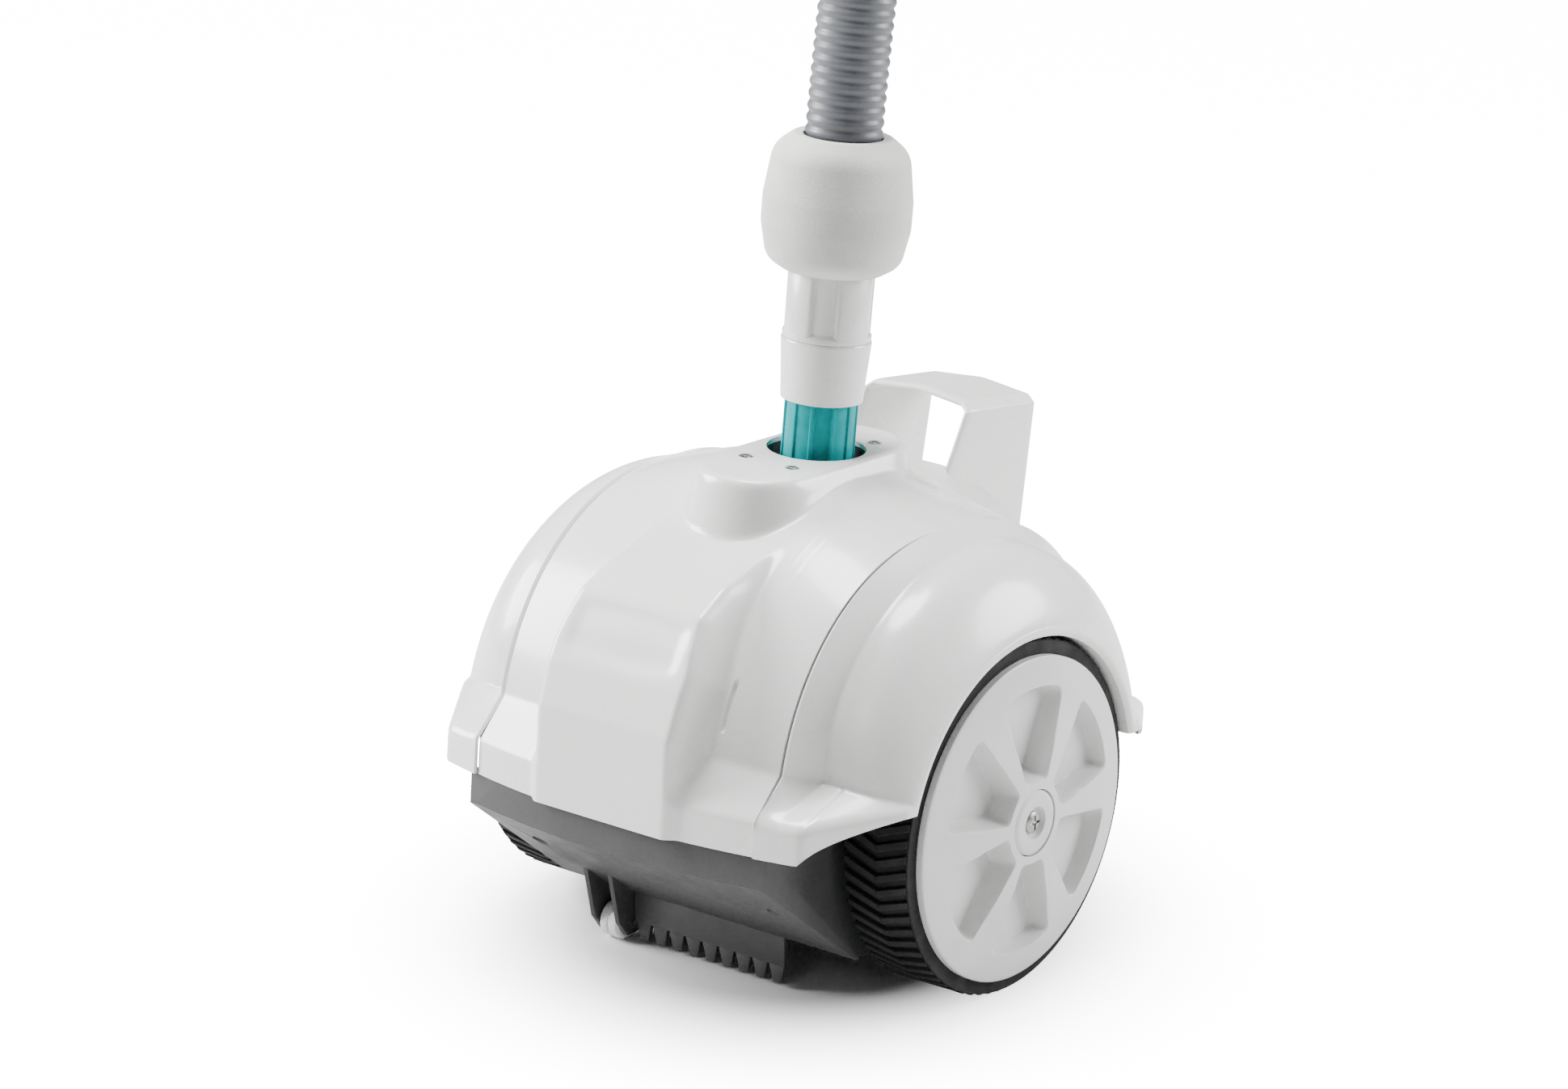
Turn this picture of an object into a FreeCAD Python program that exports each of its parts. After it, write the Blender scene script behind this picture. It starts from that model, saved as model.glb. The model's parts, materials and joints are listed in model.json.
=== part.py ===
import FreeCAD, Part
import math
import os

# Suction pool cleaner that stands on two driven wheels and two small rollers. Millimetres.
# X runs to the right along the drive axle, -Y is the front, Z is up from the pool floor.
# The body is drawn level and then pitched nose up about the axle.

Vec = FreeCAD.Vector
axisX = Vec(1, 0, 0)

# driving dimensions
tyreRadius = 98.0
axleHeight = tyreRadius
bodyPitch = 5.0          # degrees, nose up
riserLean = 7.5          # degrees, hose column leaning back
hoseRadius = 21.0        # 38 mm pool hose, 42 mm outside
hoseBore = 18.5
seamX = 93.0             # hood meets fender
fenderX = 148.5          # outer lip of the wheel arch
skirtLow, skirtHigh = 102.0, 121.0
cornerX, cornerReach = 118.0, 155.3
ledgeAngle = 17.0        # degrees round the axle where the ledge meets the upper body
archRadius = 102.0
shellWall = 3.0
platformZ = 272.0
platformY, platformLong, platformWide = -13.0, 38.0, 33.0   # centre, between end arcs, half width
platformDraft = 13.0     # wider by this at its root than on top
platformRoot = 200.0
outletRadius = 27.0
pivotZ = 250.0           # tilt axis of the collar
discRadius, discFace = 89.5, 149.5
tyreInner, tyreOuter = 104.0, 145.5
discBack, pocketFloor = 140.5, 143.5
axleRadius = 5.0
tubWallX = 97.0
rollerRadius, rollerWidth = 10.0, 13.0
rollerPlace = Vec(-64, -78, rollerRadius)
turbineZ = 165.0
gearModule, gearFrom, gearWidth = 2.0, 40.0, 10.0
pinionTeeth, idlerTeeth, axleTeeth = 12, 16, 30
runningFit = 0.06

hub = Vec(0, 0, axleHeight)
made = {}


def save(name, shape):
    os.makedirs("parts", exist_ok=True)
    shape.exportStep("parts/" + name + ".step")
    made[name] = shape
    print(name, "solids", len(shape.Solids), "valid", shape.isValid(), "volume", round(shape.Volume))


def pitched(shape):
    turned = shape.copy()
    turned.rotate(hub, axisX, -bodyPitch)
    return turned


def mirroredX(shape):
    return shape.mirror(Vec(0, 0, 0), axisX)


def rod(radius, xFrom, xTo, y=0.0, z=axleHeight):
    return Part.makeCylinder(radius, xTo - xFrom, Vec(xFrom, y, z), axisX)


def pipe(outer, inner, xFrom, xTo, y=0.0, z=axleHeight):
    return rod(outer, xFrom, xTo, y, z).cut(rod(inner, xFrom - 1, xTo + 1, y, z))


def ringZ(outer, inner, zFrom, zTo, x=0.0, y=0.0):
    body = Part.makeCylinder(outer, zTo - zFrom, Vec(x, y, zFrom))
    return body.cut(Part.makeCylinder(inner, zTo - zFrom + 2, Vec(x, y, zFrom - 1)))


def block(x0, x1, y0, y1, z0, z1):
    return Part.makeBox(x1 - x0, y1 - y0, z1 - z0, Vec(x0, y0, z0))


def prism(points, direction):
    return Part.Face(Part.makePolygon(points + points[:1])).extrude(direction)


def turned(points):
    """Solid of revolution about the axle line from (x, radius) pairs."""
    outline = [Vec(x, 0, axleHeight + r) for x, r in points]
    return Part.Face(Part.makePolygon(outline + outline[:1])).revolve(hub, axisX, 360)


def turnedZ(points):
    outline = [Vec(r, 0, z) for z, r in points]
    return Part.Face(Part.makePolygon(outline + outline[:1])).revolve(Vec(0, 0, 0), Vec(0, 0, 1), 360)


def obroundWire(halfWidth, halfLength, y, z):
    ends = []
    for way in (-1, 1):
        start, end = [Vec(side * halfWidth, y + way * halfLength, z) for side in (-way, way)]
        ends.append((start, Vec(0, y + way * (halfLength + halfWidth), z), end))
    front, back = ends
    return Part.Wire([Part.Arc(*front).toShape(), Part.makeLine(front[2], back[0]),
                      Part.Arc(*back).toShape(), Part.makeLine(back[2], front[0])])


def obround(halfWidth, halfLength, y, z0, z1):
    return Part.Face(obroundWire(halfWidth, halfLength, y, z0)).extrude(Vec(0, 0, z1 - z0))


def platform(inset):
    root = obroundWire(platformWide + platformDraft - inset, platformLong, platformY, platformRoot)
    top = obroundWire(platformWide - inset, platformLong, platformY, platformZ - inset)
    return Part.makeLoft([root, top], True, True)


# ---- outer skin of the body, as a radius round the axle line

def crownRadius(x, angle, rear):
    """Hood skin: angle is from the horizon up to 90 degrees over the axle."""
    side = 1 - (x / seamX) ** 2
    rise = math.radians(angle)
    swell = (2 if rear else 8) * math.sin(math.pi * (angle - ledgeAngle) / (90 - ledgeAngle))
    return 149 + swell + side * (11 * math.cos(rise) ** 2 + 18 * math.sin(rise) ** 6)


def fenderRadius(x, angle, rear):
    """Fender skin: falls from the seam to the crease, then swells out over the wheel."""
    creaseX, lipRadius = 105.0, 105.0
    crease = 142 - 17 * ((90 - angle) / 72) ** 3.5
    if x <= creaseX:
        share = (x - seamX) / (creaseX - seamX)
        return crownRadius(seamX, angle, rear) * (1 - share) + crease * share
    out = (x - creaseX) / (fenderX - creaseX)
    return lipRadius + (crease - lipRadius) * (1 - out ** 2.2) ** 0.8


def skirtReach(x):
    if abs(x) <= cornerX:
        return 173 - 11 * (x / seamX) ** 2
    return cornerReach - (abs(x) - cornerX) / (fenderX - cornerX) * (cornerReach - 107)


def sectionWire(x, radius, inset):
    """Closed outline of the body in the plane at x, shrunk towards the axle line by inset."""
    beyond = max(0.0, (abs(x) - cornerX) / (fenderX - cornerX))
    low, brim = skirtLow + 22 * beyond ** 0.55, skirtHigh + 6 * beyond - inset
    reach = skirtReach(x) - inset
    low = skirtLow - 1 if inset else low
    points = []
    for rear in (False, True):
        for k in range(7):
            angle = ledgeAngle + k * (90 - ledgeAngle) / 6
            r = radius(abs(x), angle, rear) - inset
            y = r * math.cos(math.radians(angle))
            z = axleHeight + r * math.sin(math.radians(angle))
            points.append(Vec(x, y if rear else -y, z))
    front, back = points[:7], points[7:13][::-1]
    crown = Part.BSplineCurve()
    crown.interpolate(front + back)
    foot = [Vec(x, -reach, low), Vec(x, -reach, brim), front[0]]
    heel = [back[-1], Vec(x, reach, brim), Vec(x, reach, low)]
    edges = [Part.makeLine(foot[0], foot[1]), Part.makeLine(foot[1], foot[2]), crown.toShape()]
    edges += [Part.makeLine(heel[0], heel[1]), Part.makeLine(heel[1], heel[2])]
    edges += [Part.makeLine(heel[2], foot[0])]
    return Part.Wire(edges)


def skin(stations, radius, inset, ruled):
    return Part.makeLoft([sectionWire(x, radius, inset) for x in stations], True, ruled)


# raised centre panel of the hood, over the top from the front skirt to the rear: side profile as (y, z)
spineProfile = [(-175.35, 102), (-175.35, 155), (-167, 180), (-157.5, 200), (-147, 216), (-125, 227.5),
                (-112, 231), (-88, 240), (-60, 246), (72, 255.5), (100, 243), (122, 226), (140, 206),
                (152, 185), (160, 160), (165, 135), (166, 121), (166, 102)]
spineFront = [(42, 102), (45, 190), (34, 250), (32, 262)]


def spine(inset):
    side = [Vec(-60, y + (inset if y < 0 else -inset), z - (inset if z > skirtLow else 1))
            for y, z in spineProfile]
    wide = [Vec(w - inset, -200, z - (1 if z == skirtLow else 0)) for w, z in spineFront]
    wide += [Vec(-(w - inset), -200, z - (1 if z == skirtLow else 0)) for w, z in spineFront[::-1]]
    return prism(side, Vec(120, 0, 0)).common(prism(wide, Vec(0, 400, 0)))


def hoodSolid(inset):
    stations = [-seamX, -62, -31, 0, 31, 62, seamX]
    body = skin(stations, crownRadius, inset, False)
    body = body.fuse(spine(inset))
    return body.fuse(platform(inset))


def makeHood():
    outer = hoodSolid(0)
    inner = hoodSolid(shellWall)
    shell = outer.cut(inner)
    shell = shell.common(block(-seamX + 0.4, seamX - 0.4, -250, 250, skirtLow, 400))
    shell = shell.cut(Part.makeCylinder(outletRadius, 60, Vec(0, 0, 230)))
    for x, y in platformScrews:
        shell = shell.cut(Part.makeCylinder(4.2, 2.0, Vec(x, y, platformZ - 2.0)))
        shell = shell.cut(Part.makeCylinder(2.2, 20, Vec(x, y, platformZ - 10)))
    for x, y in caseScrews:
        boss = Part.makeCylinder(6, 120, Vec(x, y, skirtLow)).common(outer)
        shell = shell.fuse(boss.cut(Part.makeCylinder(2.2, 30, Vec(x, y, skirtLow - 1))))
    return outer, shell


def makeFender():
    stations = [seamX, 105, 114, 123, 132, 140, fenderX]
    outer = skin(stations, fenderRadius, 0, True)
    inner = skin(stations, fenderRadius, shellWall, True)
    mouth = Part.Face(sectionWire(seamX + 0.02, fenderRadius, shellWall)).extrude(Vec(-2, 0, 0))
    liner = rod(archRadius + 2.5, tubWallX + 1, fenderX + 5)
    hollow = inner.fuse(mouth).cut(liner)
    hollow = hollow.cut(block(fenderX - 2.5, fenderX + 1, -200, 200, 80, 300))
    shell = outer.cut(hollow).cut(rod(archRadius, tubWallX + 3.4, fenderX + 9))
    shell = shell.cut(rod(13, 80, 130))
    return shell.common(block(seamX + 0.4, 160, -250, 250, skirtLow, 400))


platformScrews = [(x, y) for x in (-15.5, 15.5) for y in (-41.5, 31.5)]
caseScrews = [(x, y) for x in (-80, 80) for y in (-122, 122)]


# ---- base tub

def planWall(reachLess, halfX, z0, z1):
    """Plan of the body below the skirt: bowed front and back, straight sides."""
    steps = [halfX * (k / 4 - 1) for k in range(9)]
    front = [Vec(x, -(skirtReach(x) - reachLess), z0) for x in steps]
    back = [Vec(x, skirtReach(x) - reachLess, z0) for x in steps[::-1]]
    return prism(front + back, Vec(0, 0, z1 - z0))


def tubSection(inset, halfX):
    top = skirtLow + (2 if inset else 0)
    low = [(-200, top), (-200, 84 + inset), (-160 + inset, 84 + inset), (-74 + inset, 24 + inset),
           (70 - inset, 28 + inset), (160 - inset, 84 + inset), (200, 84 + inset), (200, top)]
    return prism([Vec(-halfX, y, z) for y, z in low], Vec(2 * halfX, 0, 0))


def makeTub():
    halfX = 100.0
    frontEar = [(-98, 52), (-62, 38), (-66, 14), (-73, 4.5), (-83, 4.5), (-90, 14)]
    rearEar = [(-104, 42), (-60, 24), (-66, 12), (-73, 4.5), (-83, 4.5), (-90, 14)]
    tub = tubSection(0, halfX).common(planWall(1.5, halfX, 0, 200))
    tub = tub.cut(tubSection(3, tubWallX - 3).common(planWall(4.5, tubWallX - 3, 0, 200)))
    for side in (-1, 1):
        well = rod(archRadius + 0.5, tubWallX, 120)
        tower = block(tubWallX - 3, tubWallX, -20, 20, 80, 116)
        if side < 0:
            well, tower = mirroredX(well), mirroredX(tower)
        tub = tub.cut(well).fuse(tower)
    tub = tub.cut(rod(8, -130, 130))
    tub = tub.cut(block(-27, 27, -46, -10, 15, 34))
    for x, y in caseScrews:
        boss = Part.makeCylinder(6, 60, Vec(x, y, skirtLow - 60))
        boss = boss.common(tubSection(0, halfX))
        tub = tub.fuse(boss)
    for x, y in caseScrews:
        tub = tub.cut(Part.makeCylinder(2.2, 80, Vec(x, y, 30)))
        tub = tub.cut(Part.makeCylinder(4.6, 50, Vec(x, y, 38)))
    tub = pitched(tub)
    for ear, rear in ((frontEar, False), (rearEar, True)):
        x, y = rollerPlace.x, rollerPlace.y
        for plateX in (x - rollerWidth / 2 - 3.5, x + rollerWidth / 2 + 0.5):
            plate = prism([Vec(plateX, earY, z) for earY, z in ear], Vec(3, 0, 0))
            if rear:
                plate = plate.mirror(Vec(0, 0, 0), axisX).mirror(Vec(0, 0, 0), Vec(0, 1, 0))
            tub = tub.fuse(plate.cut(pitched(tubSection(3, tubWallX - 3))))
        if rear:
            x, y = -x, -y
        tub = tub.cut(rod(2.0, x - 15, x + 15, y, rollerPlace.z))
    return tub.removeSplitter()


def comb(y, zTop):
    """Toothed strip under the body; the teeth point down."""
    pitch, count, halfX = 11.4, 9, 51.3
    zLow, gullet = 3.0, 13.0
    points = [Vec(-halfX, 0, zTop), Vec(halfX, 0, zTop)]
    for k in range(count):
        right = halfX - k * pitch
        points += [Vec(right, 0, gullet), Vec(right - 2.5, 0, zLow), Vec(right - 8.0, 0, zLow)]
    points += [Vec(-halfX, 0, gullet)]
    strip = prism(points, Vec(0, 3, 0))
    strip.translate(Vec(0, y, 0))
    return strip


# ---- spur gears

def spurGear(teeth, boreRadius, xFrom, width, y, z, firstTooth):
    """Involute spur gear on an axis along X; firstTooth is the angle of a tooth from +Y to +Z."""
    pitchRadius = gearModule * teeth / 2
    baseRadius = pitchRadius * math.cos(math.radians(20))
    tip, root = pitchRadius + 0.9 * gearModule, pitchRadius - 1.25 * gearModule

    def involute(angle):
        return math.tan(angle) - angle

    half = math.radians(90) / teeth * 0.86 + involute(math.radians(20))   # 0.86 leaves backlash
    outline = []
    for k in range(teeth):
        centre = firstTooth + 2 * math.pi * k / teeth
        flank = []
        for step in range(5):
            r = max(baseRadius, root) + (tip - max(baseRadius, root)) * step / 4
            flank.append((r, half - involute(math.acos(min(1.0, baseRadius / r)))))
        left = [(root, flank[0][1])] + flank if root < baseRadius else flank
        outline += [(r, centre - a) for r, a in left] + [(r, centre + a) for r, a in left[::-1]]
    points = [Vec(xFrom, y + r * math.cos(a), z + r * math.sin(a)) for r, a in outline]
    return prism(points, Vec(width, 0, 0)).cut(rod(boreRadius, xFrom - 1, xFrom + width + 1, y, z))


def matingTooth(teethA, firstA, teethB, direction):
    """Angle of a tooth on gear B so that it meshes with gear A; direction points from A to B."""
    phase = (direction - firstA) * teethA / (2 * math.pi)
    return direction + math.pi - (0.5 - phase) * 2 * math.pi / teethB


# ---- wheels

def makeWheelDisc():
    """Right wheel: domed face with six pockets, rim and hub tube."""
    dome = [(discFace + 8.9 * (1 - (r / discRadius) ** 2), r) for r in (20, 35, 50, 65, 80)]
    outline = [(103, 7), (103, 13), (discBack, 16), (discBack, 84)]
    outline += [(107, 86), (107, 89.4), (tyreOuter, 89.4), (discFace, discRadius)]
    outline += dome[::-1] + [(discFace + 8.4, 18.6), (discFace + 4, 18.6), (discFace + 4, 7)]
    disc = turned(outline)
    for k in range(6):
        angle = math.radians(26 + 60 * k)
        inner, outer = 24.0, 73.0
        spread = math.radians(21)
        corners = []
        for r, turn in ((inner, -spread), (outer, -spread), (outer, 0), (outer, spread), (inner, spread)):
            y = r * math.cos(angle + turn)
            z = axleHeight + r * math.sin(angle + turn)
            corners.append(Vec(pocketFloor, y, z))
        disc = disc.cut(prism(corners, Vec(25, 0, 0)))
    return disc


def makeTyre():
    return turned([(tyreInner, 89.5), (tyreInner, tyreRadius - 2), (tyreInner + 2, tyreRadius),
                   (tyreOuter - 2, tyreRadius), (tyreOuter, tyreRadius - 2), (tyreOuter, 89.5)])


def makeHubCap():
    cap = turned([(discFace + 4.2, 0), (discFace + 4.2, 18.2), (discFace + 8.0, 18.2),
                  (discFace + 8.9, 15), (discFace + 8.9, 0)])
    return cap.cut(rod(8, discFace + 6.4, 170)).cut(rod(3.2, 140, 170))


def makeHubScrew():
    head = turned([(discFace + 6.4, 0), (discFace + 6.4, 6.4), (discFace + 7.8, 6.0), (discFace + 8.6, 3.5),
                   (discFace + 8.6, 0)])
    slotX = discFace + 7.2
    for a, b in ((4.0, 0.7), (0.7, 4.0)):
        head = head.cut(block(slotX, 170, -a, a, axleHeight - b, axleHeight + b))
    return head.fuse(rod(3.0, discFace - 8, discFace + 6.4))


def bothSides(name, shape):
    save(name + "_right", shape)
    save(name + "_left", mirroredX(shape))


# ---- body shells
hoodOuter, hoodShell = makeHood()
save("centre_hood", pitched(hoodShell))
fender = makeFender()
save("fender_right", pitched(fender))
save("fender_left", pitched(mirroredX(fender)))
tub = makeTub()
save("base_tub", tub)

# ---- carrying handle: strap over two thin legs
side = prism([Vec(-60, y, z) for y, z in ((95, 300), (155, 300), (143, 195), (62, 195), (62, 235))],
             Vec(120, 0, 0))
strapWay = Vec(0, 140, -14.2)                          # the strap falls a little towards the rear
legOut = [(38, 195), (36.5, 284), (31, 291.5), (0, 294.5)]
legIn = [(34, 150), (32.5, 281), (27.5, 287), (0, 290)]


def arch(half, y):
    return [Vec(x, y, z) for x, z in half] + [Vec(-x, y, z) for x, z in half[-2::-1]]


frame, opening = prism(arch(legOut, 40), strapWay), prism(arch(legIn, 39), strapWay)
handle = side.common(frame).cut(opening).cut(hoodOuter)
save("carry_handle", pitched(handle))

# ---- outlet: socket, seal, retaining ring, swivel ring and its tilt pins
socket = ringZ(30, 26.6, 231, platformZ - shellWall).fuse(ringZ(30, 19, 231, 234))
flange = obround(24, 30, -5, platformZ - 2 * shellWall, platformZ - shellWall)
flange = flange.cut(Part.makeCylinder(27, 40, Vec(0, 0, 240)))
socket = socket.fuse(flange)
for x, y in platformScrews:
    socket = socket.cut(Part.makeCylinder(2.2, 24, Vec(x, y, 250)))
save("outlet_socket", pitched(socket.cut(hoodShell)))
save("outlet_seal", pitched(ringZ(26.4, 23.0, 234, 236.6)))
save("retaining_ring", pitched(ringZ(26.6, 24.6, 259.2, 262.4)))
swivel = ringZ(26.5, 24.2, 238, 258.6)
pinHoles = rod(2.5, -30, 30, 0, pivotZ)
save("swivel_ring", pitched(swivel.cut(pinHoles)))
pins = rod(2.5, 17.5, 26.4, 0, pivotZ)
save("tilt_pins", pitched(Part.makeCompound([pins, mirroredX(pins)])))
screws = []
for x, y in platformScrews:
    head = Part.makeCylinder(4.0, 1.6, Vec(x, y, platformZ - 2.0))
    head = head.cut(block(x - 2.4, x + 2.4, y - 0.4, y + 0.4, platformZ - 1.2, platformZ + 1))
    head = head.cut(block(x - 0.4, x + 0.4, y - 2.4, y + 2.4, platformZ - 1.2, platformZ + 1))
    screws.append(head.fuse(Part.makeCylinder(2.0, 14, Vec(x, y, platformZ - 16.0))))
save("platform_screws", pitched(Part.makeCompound(screws)))
screws = []
for x, y in caseScrews:
    head = Part.makeCylinder(4.0, 2.4, Vec(x, y, 85.6))
    screws.append(head.fuse(Part.makeCylinder(2.0, 30, Vec(x, y, 88.0))))
save("case_screws", pitched(Part.makeCompound(screws)))

# ---- turbine housing with its inlet throat in front of the axle
housing = rod(40, -30, 27, 0, turbineZ).fuse(block(-27, 27, -46, -10, 25.5, turbineZ))
housing = housing.fuse(Part.makeCylinder(22, 66, Vec(0, 0, 165)))
housing = housing.cut(rod(37, -27, 28, 0, turbineZ)).cut(block(-24, 24, -43, -13, 24, turbineZ))
housing = housing.cut(Part.makeCylinder(19, 70, Vec(0, 0, 165)))
housing = housing.cut(rod(6, -31, -26, 0, turbineZ))
save("turbine_housing", pitched(housing))
cover = rod(40, 27, 30, 0, turbineZ).cut(rod(6, 26, 31, 0, turbineZ))
pinionSpan = gearModule * (pinionTeeth + idlerTeeth) / 2
axleSpan = gearModule * (axleTeeth + idlerTeeth) / 2
stack = turbineZ - axleHeight
idlerUp = (axleSpan ** 2 - pinionSpan ** 2 + stack ** 2) / (2 * stack)
idlerY, idlerZ = math.sqrt(axleSpan ** 2 - idlerUp ** 2), axleHeight + idlerUp
cover = cover.cut(rod(3, 26, 31, idlerY, idlerZ))
save("housing_cover", pitched(cover))
for name, x in (("turbine_bearing_left", -30.0), ("turbine_bearing_right", 27.0)):
    save(name, pitched(pipe(6, 3 + runningFit, x, x + 3, 0, turbineZ)))
save("idler_pin", pitched(rod(3, 27, 53, idlerY, idlerZ).fuse(rod(5, 51.2, 53, idlerY, idlerZ))))

# ---- turbine wheel, its shaft and pinion
wheel = pipe(8, 3, -24, 24, 0, turbineZ)
for k in range(8):
    blade = block(-24, 24, 7, 34, turbineZ - 1, turbineZ + 1)
    blade.rotate(Vec(0, 0, turbineZ), axisX, 45 * k)
    wheel = wheel.fuse(blade)
save("turbine_wheel", pitched(wheel))
save("turbine_shaft", pitched(rod(3, -31, 52, 0, turbineZ)))
firstPinion = 0.0
toIdler = math.atan2(idlerZ - turbineZ, idlerY)
firstIdler = matingTooth(pinionTeeth, firstPinion, idlerTeeth, toIdler)
toAxle = math.atan2(axleHeight - idlerZ, -idlerY)
firstAxle = matingTooth(idlerTeeth, firstIdler, axleTeeth, toAxle)
gearAt = (gearFrom, gearWidth)
save("turbine_pinion", pitched(spurGear(pinionTeeth, 3, *gearAt, 0, turbineZ, firstPinion)))
idler = spurGear(idlerTeeth, 3 + runningFit, *gearAt, idlerY, idlerZ, firstIdler)
save("idler_gear", pitched(idler))
axleGear = spurGear(axleTeeth, axleRadius, *gearAt, 0, axleHeight, firstAxle)
save("axle_gear", pitched(axleGear))

# ---- drive axle and wheels
save("drive_axle", rod(axleRadius, -discFace - 2, discFace + 2)
     .cut(rod(3.0, discFace - 8, discFace + 4)).cut(rod(3.0, -discFace - 4, -discFace + 8)))
bush = pipe(8, axleRadius + runningFit, tubWallX - 3, tubWallX)
bothSides("axle_bush", bush.fuse(pipe(10, axleRadius + runningFit, tubWallX - 5, tubWallX - 3)))
bothSides("axle_spacer", pipe(9, axleRadius, tubWallX + 1, 102.7))
wheelDisc = makeWheelDisc()
sleeve = pipe(7, axleRadius, 103, discFace + 2)
bothSides("wheel_disc", wheelDisc)
bothSides("hub_sleeve", sleeve)
bothSides("tyre", makeTyre())
bothSides("hub_cap", makeHubCap())
bothSides("hub_screw", makeHubScrew())

# ---- rollers on pins and the toothed strips
rear = Vec(-rollerPlace.x, -rollerPlace.y, rollerPlace.z)
pinParts = []
for name, place in (("front_roller", rollerPlace), ("rear_roller", rear)):
    x0 = place.x - rollerWidth / 2
    save(name, pipe(rollerRadius, 2.0 + runningFit, x0, x0 + rollerWidth, place.y, place.z))
    save(name + "_pin", rod(2.0, x0 - 4.5, x0 + rollerWidth + 4.5, place.y, place.z))
tubOuter = pitched(tubSection(0, 100))
save("comb_front", comb(-80, 46).cut(tubOuter))
save("comb_rear", comb(65, 40).cut(tubOuter))

# ---- hose column: drawn upright from the tilt axis, then leaned back
sRim = platformZ - pivotZ
sCollar, sSleeve, sCoupling, sFloat = 49.0, 83.0, 119.6, 193.6   # tops of the pieces, from the tilt axis
pivotWorld = Vec(0, (pivotZ - axleHeight) * math.sin(math.radians(bodyPitch)),
                 axleHeight + (pivotZ - axleHeight) * math.cos(math.radians(bodyPitch)))


def leaned(shape):
    column = shape.copy()
    column.rotate(Vec(0, 0, 0), axisX, -riserLean)
    column.translate(pivotWorld)
    return column


collar = turnedZ([(-6, 16), (-6, 19), (8, 20.1), (sCollar + 6, 20.1), (sCollar + 6, 16)])
for k in range(12):
    groove = Part.makeCylinder(1.6, 50, Vec(20.9, 0, sRim - 6))
    groove.rotate(Vec(0, 0, 0), Vec(0, 0, 1), 15 + 30 * k)
    collar = collar.cut(groove)
save("quick_collar", leaned(collar.cut(rod(2.5 + runningFit, -30, 30, 0, 0))))
save("riser_sleeve", leaned(turnedZ([(sCollar, 20.2), (sCollar, 22.3), (sSleeve, 25), (sSleeve, 17),
                                     (sCollar + 6, 17), (sCollar + 6, 20.2)])))
coupling = turnedZ([(sSleeve, 17), (sSleeve, 24.2), (sCoupling, 24.2), (sCoupling, 23.4),
                    (sCoupling + 4, 23.4), (sCoupling + 4, 17)])
for k in range(4):
    groove = block(22, 26, -6, 6, sSleeve + 2, sCoupling)
    groove.rotate(Vec(0, 0, 0), Vec(0, 0, 1), 30 + 90 * k)
    coupling = coupling.cut(groove)
save("ribbed_coupling", leaned(coupling))
floatSkin = [(sCoupling, 27), (sCoupling + 5, 34), (sCoupling + 15, 39), (sCoupling + 27, 40.5),
             (sFloat - 24, 40.5), (sFloat - 13, 38), (sFloat - 4, 32), (sFloat, 26)]
floatBody = turnedZ(floatSkin + [(sFloat, 21.3), (sCoupling + 4, 21.3), (sCoupling + 4, 23.7),
                                 (sCoupling, 23.7)])
save("hose_float", leaned(floatBody))


def along(s, degrees):
    return Vec(0, s * math.sin(math.radians(degrees)), s * math.cos(math.radians(degrees)))


# hose route: straight through the float, then an easy bend back to its cuff
hoseStart = pivotWorld + along(sCoupling + 4, riserLean)
route = [hoseStart, hoseStart + along(92, riserLean)]
route.append(route[-1] + along(88, 10.5))
route.append(route[-1] + along(84, 13.5))


def routeWire(points):
    edges, here = [], points[0]
    for before, corner, after in zip(points, points[1:], points[2:]):
        back, on = (before - corner), (after - corner)
        turn = math.pi - back.getAngle(on)
        cutBack = 0.45 * min(back.Length, on.Length)
        radius = cutBack / math.tan(turn / 2)
        print("hose bend radius", round(radius), "turn", round(math.degrees(turn), 1))
        start = corner + Vec(back).normalize() * cutBack
        end = corner + Vec(on).normalize() * cutBack
        inward = (Vec(back).normalize() + Vec(on).normalize()).normalize()
        middle = corner + inward * (radius / math.cos(turn / 2) - radius)
        edges += [Part.LineSegment(here, start).toShape(), Part.Arc(start, middle, end).toShape()]
        here = end
    return Part.Wire(edges + [Part.LineSegment(here, points[-1]).toShape()])


path = routeWire(route)


def swept(radius):
    ring = Part.Wire(Part.makeCircle(radius, route[0], route[1] - route[0]))
    return path.makePipeShell([ring], True, False)


hose = swept(hoseRadius).cut(swept(hoseBore))
expected = math.pi * (hoseRadius ** 2 - hoseBore ** 2) * path.Length
print("hose length", round(path.Length, 1), "volume share", round(hose.Volume / expected, 4))
save("hose", hose)
hoseEnd, hoseWay = route[-1], Vec(route[-1] - route[-2]).normalize()
cuffRadius, cuffBore, cuffDepth, cuffGrip = 24.0, 19.2, 40.0, 16.0
cuff = Part.makeCylinder(cuffRadius, cuffDepth + cuffGrip, hoseEnd - hoseWay * cuffGrip, hoseWay)
cuff = cuff.cut(Part.makeCylinder(cuffBore, cuffDepth + 2, hoseEnd - hoseWay, hoseWay))
gripStart = hoseEnd - hoseWay * (cuffGrip + 1)
cuff = cuff.cut(Part.makeCylinder(hoseRadius + 0.3, cuffGrip + 1, gripStart, hoseWay))
save("hose_cuff", cuff)
cuffTip = hoseEnd + hoseWay * cuffDepth
for label, point in (("pivot", pivotWorld), ("hose start", route[0]), ("hose end", hoseEnd),
                     ("cuff tip", cuffTip), ("hose way", hoseWay * 1000)):
    print(label, [round(v, 3) for v in point])
whole = Part.makeCompound(list(made.values())).BoundBox
print("whole box", whole)
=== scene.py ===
import json
import math
import bmesh
import bpy
import numpy as np
from mathutils import Matrix, Vector


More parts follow.
